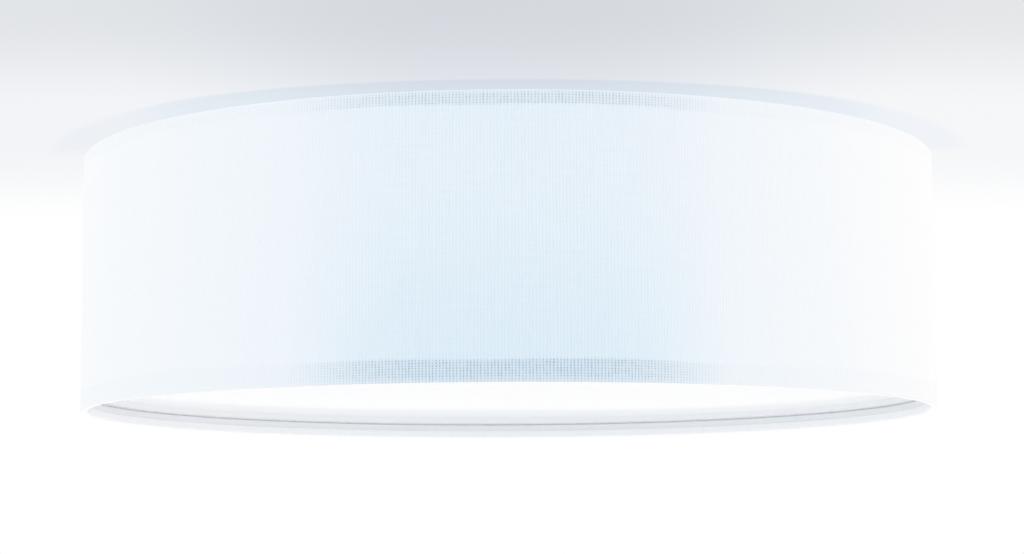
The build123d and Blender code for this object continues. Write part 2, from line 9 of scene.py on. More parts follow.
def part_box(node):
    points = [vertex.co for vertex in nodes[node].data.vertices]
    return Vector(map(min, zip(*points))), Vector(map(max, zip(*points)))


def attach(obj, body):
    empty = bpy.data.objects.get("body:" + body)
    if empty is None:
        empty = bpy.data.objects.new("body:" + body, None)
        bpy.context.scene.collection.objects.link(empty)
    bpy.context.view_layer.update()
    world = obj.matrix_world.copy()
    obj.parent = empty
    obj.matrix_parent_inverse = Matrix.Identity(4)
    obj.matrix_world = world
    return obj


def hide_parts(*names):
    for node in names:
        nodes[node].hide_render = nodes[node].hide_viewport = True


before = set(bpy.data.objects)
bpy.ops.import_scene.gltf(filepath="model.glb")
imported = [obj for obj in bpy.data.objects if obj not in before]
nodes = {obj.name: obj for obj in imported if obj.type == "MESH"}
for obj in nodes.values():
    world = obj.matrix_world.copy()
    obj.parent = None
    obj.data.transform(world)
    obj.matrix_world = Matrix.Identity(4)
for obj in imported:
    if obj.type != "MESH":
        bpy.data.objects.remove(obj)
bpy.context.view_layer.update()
scene = bpy.context.scene
scene.view_settings.view_transform = "Standard"


# ---------------------------------------------------------------- camera
# The photograph is taken from just below the shade's rim, straight at its front, with a long lens
# tilted up a little. The distance and lens come from the curves of the shade's two rims.

camera_lens = 91.3
camera_sensor = 36
camera_place = (0, -1.2272, -0.1997)
camera_tilt = math.radians(6.75)
camera_roll = math.radians(-0.27)
camera_turn = math.radians(-0.08)

camera = bpy.data.objects.new("camera", bpy.data.cameras.new("camera"))
camera.data.lens = camera_lens
camera.data.sensor_width = camera_sensor
camera.matrix_world = (
    Matrix.Translation(camera_place)
    @ Matrix.Rotation(camera_turn, 4, "Z")
    @ Matrix.Rotation(math.pi / 2 + camera_tilt, 4, "X")
    @ Matrix.Rotation(camera_roll, 4, "Z")
)
scene.collection.objects.link(camera)
scene.camera = camera


# ---------------------------------------------------------------- room
# A white ceiling that only the camera sees, and only from below, a pale floor far under it, cool soft
# light from the front and back, two warmer soft lamps at the sides and a wide one below.


class Field:
    """A number in a node tree. Plain arithmetic on it adds Math nodes."""

    def __init__(self, tree, socket):
        self.tree = tree
        self.socket = socket

    def math(self, operation, *values):
        return self.tree.field("ShaderNodeMath", dict(enumerate(values)), operation=operation)

    def __add__(self, other):
        return self.math("ADD", self, other)

    def __sub__(self, other):
        return self.math("SUBTRACT", self, other)

    def __rsub__(self, other):
        return self.math("SUBTRACT", other, self)

    def __mul__(self, other):
        return self.math("MULTIPLY", self, other)

    def __truediv__(self, other):
        return self.math("DIVIDE", self, other)

    def __abs__(self):
        return self.math("ABSOLUTE", self)

    def cosine(self):
        return self.math("COSINE", self)

    def root(self):
        return self.math("SQRT", self)

    def power(self, exponent):
        return self.math("POWER", self, exponent)

    def fraction(self):
        return self.math("FRACT", self)

    def angle_over(self, x):
        """The angle round the origin of a point with this as its y."""
        return self.math("ARCTAN2", self, x)

    def above(self, limit):
        return self.math("GREATER_THAN", self, limit)

    def below(self, limit):
        return self.math("LESS_THAN", self, limit)

    def larger(self, other):
        return self.math("MAXIMUM", self, other)

    def step(self, start, end, low=0.0, high=1.0):
        """A smooth step: low up to start and high from end."""
        inputs = {"Value": self, "From Min": start, "From Max": end, "To Min": low, "To Max": high}
        return self.tree.field("ShaderNodeMapRange", inputs, interpolation_type="SMOOTHSTEP")


class Tree:
    """A node tree that is filled by calls. Inputs take plain values, sockets and Fields."""

    def __init__(self, tree):
        self.tree = tree

    def fill(self, socket, value):
        if isinstance(value, Field):
            value = value.socket
        if isinstance(value, bpy.types.NodeSocket):
            self.tree.links.new(value, socket)
        else:
            socket.default_value = value

    def node(self, kind, inputs=None, **settings):
        node = self.tree.nodes.new(kind)
        for name, value in settings.items():
            setattr(node, name, value)
        for name, value in (inputs or {}).items():
            self.fill(node.inputs[name], value)
        return node

    def field(self, kind, inputs=None, output=0, **settings):
        return Field(self, self.node(kind, inputs, **settings).outputs[output])

    def parts(self, vector):
        """The three numbers of a vector socket."""
        split = self.node("ShaderNodeSeparateXYZ", {0: vector}).outputs
        return [Field(self, split[axis]) for axis in range(3)]

    def vector(self, x=0.0, y=0.0, z=0.0):
        return self.node("ShaderNodeCombineXYZ", {0: x, 1: y, 2: z}).outputs[0]

    def object_place(self):
        return self.node("ShaderNodeTexCoord").outputs["Object"]

    def noise(self, vector, scale, detail=2.0):
        return self.field("ShaderNodeTexNoise", {"Vector": vector, "Scale": scale, "Detail": detail})

    def blend(self, factor, first, second, mode="MIX"):
        """A colour between two colours or colour sockets."""
        inputs = {0: factor, 6: first, 7: second}
        return self.node("ShaderNodeMix", inputs, data_type="RGBA", blend_type=mode).outputs[2]


def screen_colour(red, green, blue):
    """A colour given as 0 to 255 screen values, as the shader wants it."""
    linear = [((c / 255 + 0.055) / 1.055) ** 2.4 for c in (red, green, blue)]
    return (*linear, 1.0)


def stage_panel(name, half_width, height):
    """A square panel facing down or up at a height, outside the object. Returns it and its empty tree."""
    mesh = bpy.data.meshes.new(name)
    corners = [(x * half_width, y * half_width, height) for x, y in ((-1, -1), (1, -1), (1, 1), (-1, 1))]
    mesh.from_pydata(corners, [], [(0, 1, 2, 3)])
    panel = bpy.data.objects.new(name, mesh)
    scene.collection.objects.link(panel)
    material = bpy.data.materials.new(name)
    material.use_nodes = True
    material.node_tree.nodes.clear()
    mesh.materials.append(material)
    return panel, Tree(material.node_tree)


def seen_directly(tree):
    """1 for what the camera sees, in mirrors and through glass too, and 0 for light that falls on things."""
    rays = tree.node("ShaderNodeLightPath").outputs
    seen = Field(tree, rays["Is Camera Ray"])
    return seen.larger(rays["Is Glossy Ray"]).larger(rays["Is Transmission Ray"])


room_half_width = 8.0
white = (1, 1, 1, 1)

# The ceiling is dimmer towards the camera and the left, and dimmest in the middle. The light's own soft
# shadow is a disc on it that reaches out a little in front of the shade. It is fainter at the sides, and
# ends at a rim round the shade and at the shade's two tips.
ceiling_lift = 0.0004
ceiling_near = screen_colour(229, 231, 233)
ceiling_middle = screen_colour(246, 247, 249)
ceiling_left_tint = (0.965, 0.97, 0.985, 1)
ceiling_centre_tint = (0.865, 0.885, 0.915, 1)
ceiling_near_fade = (-0.34, -0.14)
ceiling_far_fade = (-0.06, 0.2)
ceiling_left_fade = (-0.4, 0.4)
ceiling_centre_fade = (0.02, 0.17)
ceiling_centre_end = (-0.22, -0.05)
shadow_centre_y = 0.0477
shadow_radius = 0.256
shadow_edge = 0.0025
shadow_fade = (0.135, 0.168)
shadow_side_share = 0.42
shadow_rim = (0.21, 0.218)
shadow_ends = (-0.05, -0.02)
shadow_tint = (0.88, 0.93, 0.97, 1)

ceiling, tree = stage_panel("room_ceiling", room_half_width, ceiling_lift)
x, y, z = tree.parts(tree.object_place())
paint = tree.blend(y.step(*ceiling_near_fade), ceiling_near, ceiling_middle)
paint = tree.blend(x.step(*ceiling_left_fade, 1.0, 0.0), paint, ceiling_left_tint, "MULTIPLY")
paint = tree.blend(y.step(*ceiling_far_fade), paint, white)
centre = abs(x).step(*ceiling_centre_fade, 1.0, 0.0) * y.step(*ceiling_centre_end, 1.0, 0.0)
paint = tree.blend(centre, paint, ceiling_centre_tint, "MULTIPLY")
from_shadow = (x * x + (y - shadow_centre_y) * (y - shadow_centre_y)).root()
in_shadow = from_shadow.step(shadow_radius - shadow_edge, shadow_radius + shadow_edge, 1.0, 0.0)
in_shadow = in_shadow * abs(x).step(*shadow_fade, 1.0, shadow_side_share)
in_shadow = in_shadow * (x * x + y * y).root().step(*shadow_rim, 1.0, 0.0)
in_shadow = in_shadow * y.step(*shadow_ends, 1.0, 0.0)
paint = tree.blend(in_shadow, paint, shadow_tint, "MULTIPLY")
glow = tree.node("ShaderNodeEmission", {"Color": paint}).outputs[0]
clear = tree.node("ShaderNodeBsdfTransparent").outputs[0]
from_below = tree.node("ShaderNodeNewGeometry").outputs["Backfacing"]
surface = tree.node("ShaderNodeMixShader", {0: from_below, 1: clear, 2: glow}).outputs[0]
tree.node("ShaderNodeOutputMaterial", {"Surface": surface})
for kind_of_ray in ("diffuse", "glossy", "transmission", "shadow"):
    setattr(ceiling, f"visible_{kind_of_ray}", False)

floor_height = -2.4
floor_paint = screen_colour(240, 240, 238)
floor_glow = 0.85
tree = stage_panel("room_floor", room_half_width, floor_height)[1]
matt = tree.node("ShaderNodeBsdfDiffuse", {"Color": floor_paint}).outputs[0]
glow = tree.node("ShaderNodeEmission", {"Color": white}).outputs[0]
surface = tree.node("ShaderNodeMixShader", {0: seen_directly(tree) * floor_glow, 1: matt, 2: glow}).outputs[0]
tree.node("ShaderNodeOutputMaterial", {"Surface": surface})

ambient_front = (1.075, 1.134, 1.2, 1)
ambient_side = (0.73, 0.84, 0.945, 1)
world = bpy.data.worlds.new("room")
scene.world = world
world.use_nodes = True
world.node_tree.nodes.clear()
tree = Tree(world.node_tree)
x, y, z = tree.parts(tree.node("ShaderNodeTexCoord").outputs["Generated"])
ambient = tree.blend(x * x, ambient_front, ambient_side)
soft = tree.node("ShaderNodeBackground", {"Color": ambient}).outputs[0]
plain = tree.node("ShaderNodeBackground", {"Color": white}).outputs[0]
surface = tree.node("ShaderNodeMixShader", {0: seen_directly(tree), 1: soft, 2: plain}).outputs[0]
tree.node("ShaderNodeOutputWorld", {"Surface": surface})

# Each lamp's place, the width of its square, its watts and its colour
lamp_aim = Vector((0, 0, -0.06))
soft_lamps = {
    "left_lamp": ((-1.6, 0, -0.06), 0.9, 5.1, (1.0, 0.62, 0.32)),
    "right_lamp": ((1.6, 0, -0.06), 0.9, 6.7, (1.0, 0.59, 0.27)),
    "bounce_lamp": ((0, 0, -2.3), 4.0, 12.7, (1.0, 0.66, 0.53)),
}
for name, (place, width, watts, colour) in soft_lamps.items():
    lamp = bpy.data.lights.new(name, "AREA")
    lamp.shape = "SQUARE"
    lamp.size = width
    lamp.energy = watts
    lamp.color = colour
    holder = bpy.data.objects.new(name, lamp)
    scene.collection.objects.link(holder)
    turn = (lamp_aim - Vector(place)).to_track_quat("-Z", "Y").to_matrix().to_4x4()
    holder.matrix_world = Matrix.Translation(place) @ turn
    holder.visible_camera = False
    holder.visible_glossy = False


# ---------------------------------------------------------------- cloth cover
# White woven cloth, bonded to the liner and turned in over both hoops, with a glued overlap down the
# back. Its ribs run up the drum. Only hoops lie behind its two edges, where the gaps in the weave show.

cloth_low, cloth_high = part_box("fabric_cover")
hoop_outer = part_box("bottom_ring")[1].x
shade_radius = cloth_high.x
low = cloth_low.z
high = cloth_high.z
cloth_thickness = 0.00045
hoop_thickness = 0.0024
flap_radius = hoop_outer - hoop_thickness - cloth_thickness
fold_radius = 0.0009
turn_in_height = 0.00385
rib_count = 910
weft_pitch = 0.00106
lower_hem_rows = 9
upper_hem_rows = 7
rib_relief = 0.00003
seam_width = 0.012
seam_step = 0.00025
hidden_clearance = 0.00003
behind_margin = 0.0001
wall_rows = 7


class Finish(Tree):
    """A material with one Principled shader, whose constants are given by name. Patterns drive the rest."""

    def __init__(self, name, base, roughness, **constants):
        self.material = bpy.data.materials.new(name)
        self.material.use_nodes = True
        super().__init__(self.material.node_tree)
        self.shader = self.tree.nodes["Principled BSDF"]
        self.shader.inputs["Base Color"].default_value = base
        self.shader.inputs["Roughness"].default_value = roughness
        for label, value in constants.items():
            self.shader.inputs[label.replace("_", " ")].default_value = value

    def grain(self, scale, detail=2.0):
        """Noise that stays with the piece."""
        return self.noise(self.object_place(), scale, detail)

    def colour(self, value):
        self.fill(self.shader.inputs["Base Color"], value)

    def roughness(self, value):
        self.fill(self.shader.inputs["Roughness"], value)

    def relief(self, height, strength, distance):
        bump = self.node("ShaderNodeBump", {"Height": height, "Strength": strength, "Distance": distance})
        self.fill(self.shader.inputs["Normal"], bump.outputs[0])


def dress(finish, *names):
    """Gives CAD nodes this finish."""
    for name in names:
        nodes[name].data.materials.clear()
        nodes[name].data.materials.append(finish.material)


def shape_tree(name, **inputs):
    """A Geometry Nodes tree with named inputs. Returns it and its inputs by name."""
    group = bpy.data.node_groups.new(name, "GeometryNodeTree")
    group.is_modifier = True
    group.interface.new_socket("Geometry", in_out="INPUT", socket_type="NodeSocketGeometry")
    group.interface.new_socket("Geometry", in_out="OUTPUT", socket_type="NodeSocketGeometry")
    kinds = {int: "NodeSocketInt", float: "NodeSocketFloat", tuple: "NodeSocketVector"}
    kinds[bpy.types.Material] = "NodeSocketMaterial"
    for label, default in inputs.items():
        kind = kinds[type(default)]
        socket = group.interface.new_socket(label.replace("_", " "), in_out="INPUT", socket_type=kind)
        socket.default_value = default
    tree = Tree(group)
    return tree, {socket.name: Field(tree, socket) for socket in tree.node("NodeGroupInput").outputs}


def end_shape(tree, geometry, material):
    """Ends a shape tree: instances made real, the material set, and the result put out."""
    real = tree.node("GeometryNodeRealizeInstances", {"Geometry": geometry}).outputs[0]
    made = tree.node("GeometryNodeSetMaterial", {"Geometry": real, "Material": material}).outputs[0]
    tree.node("NodeGroupOutput", {"Geometry": made})


def grown(name, tree, base, place=None, **inputs):
    """Grows a tree on a base mesh, and returns the plain mesh object that it makes, set in its place."""
    seed = bpy.data.objects.new(name + "_seed", base)
    scene.collection.objects.link(seed)
    modifier = seed.modifiers.new("shape", "NODES")
    modifier.node_group = tree.tree
    for item in tree.tree.interface.items_tree:
        if item.in_out == "INPUT" and item.name.replace(" ", "_") in inputs:
            modifier[item.identifier] = inputs[item.name.replace(" ", "_")]
    evaluated = seed.evaluated_get(bpy.context.evaluated_depsgraph_get())
    mesh = bpy.data.meshes.new_from_object(evaluated)
    mesh.name = name
    if place:
        mesh.transform(place)
    bpy.data.objects.remove(seed)
    piece = bpy.data.objects.new(name, mesh)
    scene.collection.objects.link(piece)
    return piece


def outline_mesh(points, closed=True):
    """A line of points (radius, height), anticlockwise in the XZ plane, for a tree to sweep round Z."""
    mesh = bpy.data.meshes.new("outline")
    edges = [(i, i + 1) for i in range(len(points) - 1)]
    if closed:
        edges.append((len(points) - 1, 0))
    mesh.from_pydata([(r, 0, z) for r, z in points], edges, [])
    return mesh


def swept_round(tree, outline, segments):
    """Sweeps an outline round the Z axis. The sweep lies one unit out, and its profile's Y points down."""
    line = tree.node("GeometryNodeMeshToCurve", {"Mesh": outline}).outputs[0]
    x, y, z = tree.parts(tree.node("GeometryNodeInputPosition").outputs[0])
    laid = tree.vector(x - 1, z * -1)
    line = tree.node("GeometryNodeSetPosition", {"Geometry": line, "Position": laid}).outputs[0]
    path = tree.node("GeometryNodeCurvePrimitiveCircle", {"Resolution": segments, "Radius": 1.0}).outputs[0]
    tube = tree.node("GeometryNodeCurveToMesh", {"Curve": path, "Profile Curve": line}).outputs[0]
    tube = tree.node("GeometryNodeFlipFaces", {"Mesh": tube}).outputs[0]
    return tree.node("GeometryNodeMergeByDistance", {"Geometry": tube, "Distance": 1e-6}).outputs[0]


def polar(tree):
    """Angle round Z, distance from Z and height of a point."""
    x, y, z = tree.parts(tree.node("GeometryNodeInputPosition").outputs[0])
    return y.angle_over(x), (x * x + y * y).root(), z


def moved_out(tree, geometry, distance, smooth=False):
    """Moves each point outward from the Z axis by a distance, and sets the shading."""
    x, y, z = tree.parts(tree.node("GeometryNodeInputPosition").outputs[0])
    outward = tree.node("ShaderNodeVectorMath", {0: tree.vector(x, y)}, operation="NORMALIZE").outputs[0]
    offset = tree.node("ShaderNodeVectorMath", {0: outward, "Scale": distance}, operation="SCALE").outputs[0]
    moved = tree.node("GeometryNodeSetPosition", {"Geometry": geometry, "Offset": offset}).outputs[0]
    return tree.node("GeometryNodeSetShadeSmooth", {"Geometry": moved, "Shade Smooth": smooth}).outputs[0]


def fold_points(corner_r, corner_z, radius, start, end, steps=4):
    """Points of one rounded fold, from one angle to another in degrees."""
    points = []
    for step in range(steps + 1):
        angle = math.radians(start + (end - start) * step / steps)
        points.append((corner_r + radius * math.cos(angle), corner_z + radius * math.sin(angle)))
    return points


def rows_between(start, end, count):
    """Heights that divide a stretch into count rows, without its two ends."""
    return [start + (end - start) * row / count for row in range(1, count)]


lower_weave = [low + fold_radius + weft_pitch * row for row in range(lower_hem_rows + 1)]
upper_weave = [high - fold_radius - weft_pitch * row for row in range(upper_hem_rows, -1, -1)]
wall_back = hoop_outer + hidden_clearance
flap_back = hoop_outer - hoop_thickness - hidden_clearance
fold_r = shade_radius - fold_radius
flap_fold_r = flap_radius + fold_radius

outline = fold_points(fold_r, low + fold_radius, fold_radius, -90, 0)
outline += [(shade_radius, row) for row in lower_weave[1:]]
outline += [(shade_radius, row) for row in rows_between(lower_weave[-1], upper_weave[0], wall_rows)]
outline += [(shade_radius, row) for row in upper_weave[:-1]]
outline += fold_points(fold_r, high - fold_radius, fold_radius, 0, 90)
outline += fold_points(flap_fold_r, high - fold_radius, fold_radius, 90, 180)
outline += [(flap_radius, high - turn_in_height), (flap_back, high - turn_in_height)]
outline += [(flap_back, high - cloth_thickness), (wall_back, high - cloth_thickness)]
outline += [(wall_back, (low + high) / 2)]
outline += [(wall_back, low + cloth_thickness), (flap_back, low + cloth_thickness)]
outline += [(flap_back, low + turn_in_height), (flap_radius, low + turn_in_height)]
outline += fold_points(flap_fold_r, low + fold_radius, fold_radius, 180, 270)

# Relief: ribs all the way up, crossed by wefts in the two hems, and the step of the overlap at the back
cloth = Finish(
    "woven_cloth",
    (0.9, 0.92, 0.93, 1),
    0.9,
    Sheen_Weight=0.15,
    Sheen_Roughness=0.5,
    Specular_IOR_Level=0.25,
)
tree, size = shape_tree("woven_tube", Ribs=rib_count, Relief=rib_relief, Overlap=seam_width, Step=seam_step)
tube = swept_round(tree, size["Geometry"], size["Ribs"] * 2)
angle, radius, height = polar(tree)
in_lower_hem = height.below(lower_weave[-1] + weft_pitch / 4)
in_upper_hem = height.above(upper_weave[0] - weft_pitch / 4)
lower_wefts = ((height - lower_weave[0]) * (math.pi / weft_pitch)).cosine() * in_lower_hem
upper_wefts = ((height - upper_weave[-1]) * (math.pi / weft_pitch)).cosine() * in_upper_hem
crossing = lower_wefts + upper_wefts + (1 - in_lower_hem - in_upper_hem)
behind = radius.above(flap_back - behind_margin) * radius.below(wall_back + behind_margin)
behind = behind * height.above(low + fold_radius) * height.below(high - fold_radius)
relief = (angle * size["Ribs"]).cosine() * crossing * size["Relief"] * (1 - behind)
at_seam = (abs(angle - math.pi / 2) * (2 * shade_radius)).below(size["Overlap"])
step = at_seam * radius.above(shade_radius - fold_radius / 2) * size["Step"]
end_shape(tree, moved_out(tree, tube, relief + step), cloth.material)
cover = grown("cloth_cover", tree, outline_mesh(outline))

# Colour: white threads, greyer between the ribs, partly as painted shade, with slubs, and gaps in the weave
# over the hoops that are painted shade. The grey of ribs and slubs, the hem gaps and a painted shade at the
# foot of the wall are all strongest midway between the arms, which puts them at the front. The turned-in edge
# is doubled, shows no gaps and is painted whiter than the outside, as painted light.
x, y, z = cloth.parts(cloth.object_place())
angle = y.angle_over(x)
rib_number = angle * (rib_count / (2 * math.pi))
weft_number = (z - lower_weave[0]) / weft_pitch


def cloth_noise(across, up, detail=1.0):
    """Noise over the cloth, its scale counted per rib across and per weft up."""
    return cloth.noise(cloth.vector(rib_number * across, weft_number * up), 1.0, detail) - 0.5


thread_white = (0.845, 0.865, 0.875, 1)
rib_shade = (0.765, 0.82, 0.85, 1)
# Painted shade for the weave's gaps over the hoops, which lie in shade behind the cloth; it also draws the
# seam's edge lines
gap_shade = (0.31, 0.40, 0.475, 1)
# Painted shade: the wall is darker towards its foot
foot_painted_shade = (0.905, 0.96, 0.99, 1)
# Painted light: the turned-in edge is whiter than the cloth outside
turned_in_lit_white = (0.95, 0.966, 0.98, 1)
arm_count = 3
lower_hem_end = (0.0084, 0.01)
lower_hem_foot = (0.0003, 0.003)
upper_hem_end = (0.0054, 0.0066)
upper_hem_top = (0.0003, 0.002)
ragged_threads = 0.0012
wandering_hem = 0.004
free_edge_width = (0.0001, 0.0006)
hidden_edge_width = (0.0002, 0.0012)
foot_painted_shade_height = 0.09
rib_wave = ((rib_number + cloth_noise(0.7, 0.12) * 0.45) * (2 * math.pi)).cosine()
weft_wave = ((weft_number + cloth_noise(0.15, 0.8) * 0.5) * (2 * math.pi)).cosine()
rib_gap = rib_wave.step(-0.9, 0.3, 1.0, 0.0)
gap = rib_wave.step(-0.95, 0.25, 1.0, 0.0) * weft_wave.step(-0.9, 0.6, 1.0, 0.15)
gap = gap * cloth_noise(0.45, 0.4, 2.0).step(-0.25, 0.2, 0.4, 1.0)
ragged = z + cloth_noise(0.9, 0.5) * ragged_threads + cloth_noise(0.016, 0.0, 0.0) * wandering_hem
above_low = ragged - low
below_high = high - ragged
lower_hem = above_low.step(*lower_hem_end, 1.0, 0.0) * above_low.step(*lower_hem_foot, 0.5, 1.0)
upper_hem = below_high.step(*upper_hem_end, 1.0, 0.0) * below_high.step(*upper_hem_top, 0.3, 0.8)
# Share of painted shade: most midway between the arms, which puts it at the front
painted_shade_share = ((angle + math.pi / 2) * arm_count).cosine().step(0.1, 0.9, 0.1, 1.0)
outside = (x * x + y * y).root().above(hoop_outer)
# Painted shade in the hems' weave gaps, over an even painted darkening of both hems
hem_painted_shade = lower_hem.larger(upper_hem) * painted_shade_share * (gap * 0.98 + 0.13)
slubs = (cloth_noise(1.3, 0.045, 2.0) + cloth_noise(0.06, 1.1, 2.0)).step(-0.3, 0.3)
from_seam = (angle - math.pi / 2) * shade_radius
free_edge = abs(from_seam - seam_width / 2).step(*free_edge_width, 0.4, 0.0)
hidden_edge = abs(from_seam + seam_width / 2).step(*hidden_edge_width, 0.09, 0.0)
seam_line = free_edge.larger(hidden_edge)
woven = cloth.blend((rib_gap * 0.66 + slubs * 0.4) * painted_shade_share, thread_white, rib_shade)
woven = cloth.blend(hem_painted_shade, woven, gap_shade)
woven = cloth.blend(seam_line, woven, gap_shade)
# Painted shade that darkens the wall towards its foot
woven = cloth.blend(z.step(low, low + foot_painted_shade_height, 1.0, 0.0) * painted_shade_share, woven, foot_painted_shade, "MULTIPLY")
# Painted light: the turned-in edge is painted whiter than the outside
lit_turned_in = cloth.blend(rib_gap * 0.15, turned_in_lit_white, rib_shade)
cloth.colour(cloth.blend(outside, lit_turned_in, woven))
fibres = cloth.grain(5200.0, 3.0)
threads = rib_wave * 0.35 + weft_wave * 0.18 + fibres * 0.5
cloth.relief(threads, 0.35, 0.00006)

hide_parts("fabric_cover")
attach(cover, "root")


# ---------------------------------------------------------------- liner
# A clear-white plastic sheet bonded to the back of the cloth, which keeps the drum round between the
# hoops. It is cut from a roll, overlapped and taped at the back, under the cloth's own overlap.

liner_tape_width = 0.018

film = Finish("shade_film", (0.91, 0.905, 0.89, 1), 0.4, Subsurface_Weight=0.2, Subsurface_Scale=0.002)
x, y, z = film.parts(film.object_place())
angle = y.angle_over(x)
flow = film.noise(film.vector(angle * 3.0, 0.0, z * 60.0), 1.0, 3.0)
taped = abs(abs(angle - math.pi / 2) * shade_radius - liner_tape_width / 2).step(0.0003, 0.001, 1.0, 0.0)
body = film.blend(flow.step(0.3, 0.7), (0.92, 0.915, 0.905, 1), (0.9, 0.895, 0.88, 1))
film.colour(film.blend(taped * 0.6, body, (0.72, 0.70, 0.62, 1)))
film.roughness(film.grain(120.0).step(0.2, 0.8, 0.36, 0.44))
dress(film, "shade_liner")


# ---------------------------------------------------------------- opal disc
# A 2.8 mm opal acrylic disc with polished faces, loose on the lower hoop. Its weight and the lamps' heat
# make its middle sag a little, which bends what its underside mirrors.

disc_low, disc_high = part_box("diffuser")
disc_radius = disc_high.x
disc_edge = 0.0003
disc_sag = 0.0019
disc_dish_power = 1.5
disc_middle = 0.1
disc_twist = 0.0004
disc_rings = 28
disc_segments = 240

opal = Finish(
    "opal_acrylic",
    (0.915, 0.925, 0.93, 1),
    0.035,
    IOR=1.49,
    Subsurface_Weight=0.15,
    Subsurface_Scale=0.004,
)
clouds = opal.grain(9.0)
opal.colour(opal.blend(clouds, (0.92, 0.93, 0.935, 1), (0.905, 0.915, 0.925, 1)))
opal.roughness(opal.grain(160.0, 4.0).step(0.3, 0.8, 0.025, 0.05))

edge_r = disc_radius - disc_edge
rings = [disc_radius * ring / disc_rings for ring in range(disc_rings)] + [edge_r - 2 * disc_edge]
outline = [(r, disc_low.z) for r in rings] + fold_points(edge_r, disc_low.z + disc_edge, disc_edge, -90, 0, 3)
outline += fold_points(edge_r, disc_high.z - disc_edge, disc_edge, 0, 90, 3)
outline += [(r, disc_high.z) for r in reversed(rings)]
tree, size = shape_tree(
    "sagging_disc",
    Segments=disc_segments,
    Sag=disc_sag,
    Power=disc_dish_power,
    Middle=disc_middle,
    Twist=disc_twist,
    Edge=disc_radius,
)
disc = swept_round(tree, size["Geometry"], size["Segments"])
angle, radius, height = polar(tree)
share = radius / size["Edge"]
rounded = (share * share + size["Middle"] * size["Middle"]).root()
bowl = (1 - rounded).larger(0.0).power(size["Power"])
saddle = (angle * 2 - math.pi / 2).cosine() * share * share * (1 - share * share)
drop = bowl * size["Sag"] + saddle * size["Twist"]
offset = tree.vector(0.0, 0.0, drop * -1)
disc = tree.node("GeometryNodeSetPosition", {"Geometry": disc, "Offset": offset}).outputs[0]
disc = tree.node("GeometryNodeSetShadeSmooth", {"Geometry": disc}).outputs[0]
end_shape(tree, disc, opal.material)
opal_disc = grown("opal_disc", tree, outline_mesh(outline, closed=False))
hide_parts("diffuser")
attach(opal_disc, "diffuser")


# ---------------------------------------------------------------- hoops, arms and hub
# Two flat strip hoops, three round wires and a pressed ring, welded together and powder coated white.
# The beads of the welds show under the coat. The steel pan that the ring hangs on has the same coat.

hub_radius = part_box("spider_hub")[1].x
hub_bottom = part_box("spider_hub")[0].z
arm_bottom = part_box("spider_arms")[0].z
arm_radius = 0.0016
arm_angles = [math.radians(degrees) for degrees in (90, 210, 330)]
hub_bead = (0.0022, 0.0026, 0.0011)
hoop_bead = (0.0009, 0.0025, 0.0017)
bead_sink = 0.0003

coat = Finish("white_powder_coat", (0.86, 0.87, 0.87, 1), 0.42)
peel = coat.grain(1400.0, 2.0)
tone = coat.grain(14.0, 3.0)
coat.colour(coat.blend(tone, (0.89, 0.918, 0.945, 1), (0.87, 0.898, 0.925, 1)))
coat.roughness(peel.step(0.3, 0.7, 0.36, 0.5))
coat.relief(peel, 0.3, 0.00008)
dress(coat, "top_ring", "bottom_ring", "spider_arms", "spider_hub", "ceiling_pan")


def points_mesh(points):
    """Loose points for a tree to set pieces on."""
    mesh = bpy.data.meshes.new("points")
    mesh.from_pydata(points, [], [])
    return mesh


def round_z(radius, angle, height):
    """A point from its distance to the Z axis, its angle and its height."""
    return (radius * math.cos(angle), radius * math.sin(angle), height)


# A rounded lump on each point, turned outward from the Z axis. Size is half its depth, width and height.
lump_tree, size = shape_tree("lumps_on_points", Size=(1.0, 1.0, 1.0), Material=coat.material)
lump = lump_tree.node("GeometryNodeMeshUVSphere", {"Segments": 12, "Rings": 8, "Radius": 1.0}).outputs[0]
lump = lump_tree.node("GeometryNodeSetShadeSmooth", {"Geometry": lump}).outputs[0]
angle, radius, height = polar(lump_tree)
inputs = {"Points": size["Geometry"], "Instance": lump, "Scale": size["Size"]}
inputs["Rotation"] = lump_tree.vector(0.0, 0.0, angle)
lumps = lump_tree.node("GeometryNodeInstanceOnPoints", inputs).outputs[0]
end_shape(lump_tree, lumps, size["Material"])

hub_beads = [round_z(hub_radius - bead_sink, angle, hub_bottom - bead_sink) for angle in arm_angles]
hoop_beads = [round_z(hoop_outer - hoop_thickness, angle, arm_bottom + arm_radius) for angle in arm_angles]
for name, places, half_size in (("hub_welds", hub_beads, hub_bead), ("hoop_welds", hoop_beads, hoop_bead)):
    welds = grown(name, lump_tree, points_mesh(places), Size=half_size, Material=coat.material)
    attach(welds, "root")


# ---------------------------------------------------------------- studs, washers and thumb nuts
# Three M4 studs pressed into the pan's flange. A washer and a knurled steel thumb nut on each clamp the
# hub to the pan. All are turned or rolled steel, zinc plated.

stud_low, stud_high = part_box("shade_studs")
nut_low, nut_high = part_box("thumb_nut_3")
washer_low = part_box("nut_washer_3")[0].z
stud_circle = -(nut_low.y + nut_high.y) / 2
stud_angles = [math.radians(degrees) for degrees in (30, 150, 270)]
stud_radius = 0.002
stud_head = (0.003, 0.0005)
stud_length = stud_high.z - stud_low.z
metric_pitch = 0.0007
metric_depth = 0.00038
thread_rows = 200
head_crown = 0.12
end_taper_pitches = 1.2

